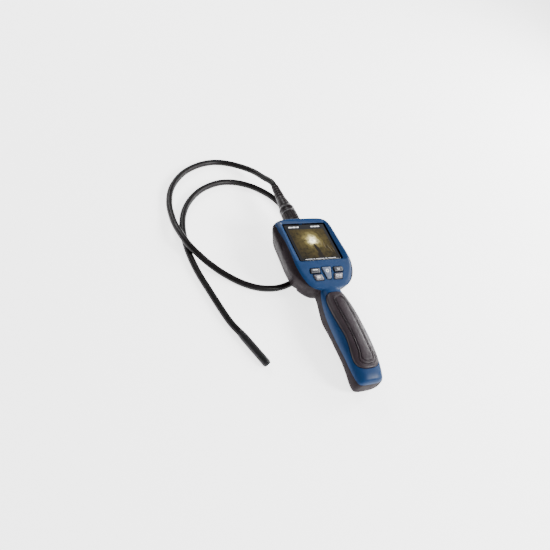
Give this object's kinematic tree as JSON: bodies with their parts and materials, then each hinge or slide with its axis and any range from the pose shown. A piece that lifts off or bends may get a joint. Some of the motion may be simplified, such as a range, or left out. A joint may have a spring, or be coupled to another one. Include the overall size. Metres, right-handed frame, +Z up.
{
  "type": "handheld inspection camera",
  "caption": "Handheld pipe and cavity inspection camera with a colour screen, keypad, rubber grip and a flexible probe ending in a lit camera head.",
  "frame": {"origin": "on the table, under the middle of the handset's length and width", "axes": "+X to the right of the screen, +Y along the handset from the handle to the probe socket, +Z up out of the screen"},
  "size_m": [0.1992, 0.3814, 0.0471],
  "materials": {
    "blue_plastic": "satin, finely textured",
    "dark_rubberised_plastic": "soft-touch coating",
    "soft_grip": "moulded soft grip",
    "window_glass": "glossy, printed black round the picture",
    "black_rubber": "matt",
    "display": "lit screen",
    "pressed_steel": "plated",
    "circuit_board": "solder mask",
    "black_parts": "moulded",
    "silicone": "matt",
    "grey_plastic": "satin",
    "cell_wrap": "printed sleeve",
    "insulator": "matt",
    "gold_contacts": "plated",
    "red_wire": "satin",
    "collar_plastic": "satin",
    "cable_sheath": "soft sheen",
    "dark_metal": "dark anodised",
    "white_leds": "clear caps",
    "tip_glass": "clear"
  },
  "bodies": {
    "handset": {"front_shell": "blue_plastic", "rear_shell": "dark_rubberised_plastic", "grip_pad": "soft_grip", "window": "window_glass", "window_gasket": "black_rubber", "lcd_panel": "display", "lcd_frame": "pressed_steel", "main_board": "circuit_board", "board_components": "black_parts", "keypad_board": "circuit_board", "keypad_mat": "silicone", "battery_tray": "black_parts", "battery_cells": "cell_wrap", "battery_springs": "pressed_steel", "battery_contacts": "pressed_steel", "housing_screws": "pressed_steel", "probe_socket": "black_parts", "socket_insert": "insulator", "socket_pins": "gold_contacts", "socket_seal": "black_rubber", "socket_nut": "pressed_steel", "probe_wires": "red_wire", "battery_wires": "red_wire", "plug_body": "black_parts", "plug_contacts": "gold_contacts", "strain_relief": "collar_plastic", "probe_cable": "cable_sheath", "camera_ferrule": "dark_metal", "camera_housing": "dark_metal", "camera_seal": "black_rubber", "image_sensor": "circuit_board", "camera_lens": "black_parts", "led_ring": "white_leds", "tip_window": "tip_glass", "tip_ring": "dark_metal"},
    "button_left_upper": {"button_left_upper": "grey_plastic"},
    "button_left_lower": {"button_left_lower": "grey_plastic"},
    "button_power": {"button_power": "grey_plastic"},
    "button_right_upper": {"button_right_upper": "grey_plastic"},
    "button_right_lower": {"button_right_lower": "grey_plastic"},
    "battery_door": {"battery_door": "dark_rubberised_plastic"},
    "coupling_collar": {"coupling_collar": "collar_plastic"}
  },
  "joints": [
    {"name": "press_left_upper", "type": "slide", "parent": "handset", "child": "button_left_upper", "axis": [0, 0.2696, -0.963], "range_m": [0, 0.0008], "stiffness_N_per_m": 1500, "springref_m": -0.0004},
    {"name": "press_left_lower", "type": "slide", "parent": "handset", "child": "button_left_lower", "axis": [0, 0.2696, -0.963], "range_m": [0, 0.0008], "stiffness_N_per_m": 1500, "springref_m": -0.0004},
    {"name": "press_power", "type": "slide", "parent": "handset", "child": "button_power", "axis": [0, 0.2696, -0.963], "range_m": [0, 0.0008], "stiffness_N_per_m": 1500, "springref_m": -0.0004},
    {"name": "press_right_upper", "type": "slide", "parent": "handset", "child": "button_right_upper", "axis": [0, 0.2696, -0.963], "range_m": [0, 0.0008], "stiffness_N_per_m": 1500, "springref_m": -0.0004},
    {"name": "press_right_lower", "type": "slide", "parent": "handset", "child": "button_right_lower", "axis": [0, 0.2696, -0.963], "range_m": [0, 0.0008], "stiffness_N_per_m": 1500, "springref_m": -0.0004},
    {"name": "door_hinge", "type": "hinge", "parent": "handset", "child": "battery_door", "pos_m": [0, -0.0285, 0.0103], "axis": [1, 0, 0], "range_deg": [0, 75]},
    {"name": "collar_turn", "type": "hinge", "parent": "handset", "child": "coupling_collar", "pos_m": [0, 0.13, 0.027], "axis": [0, 1, 0], "range_deg": [0, 60]}
  ]
}
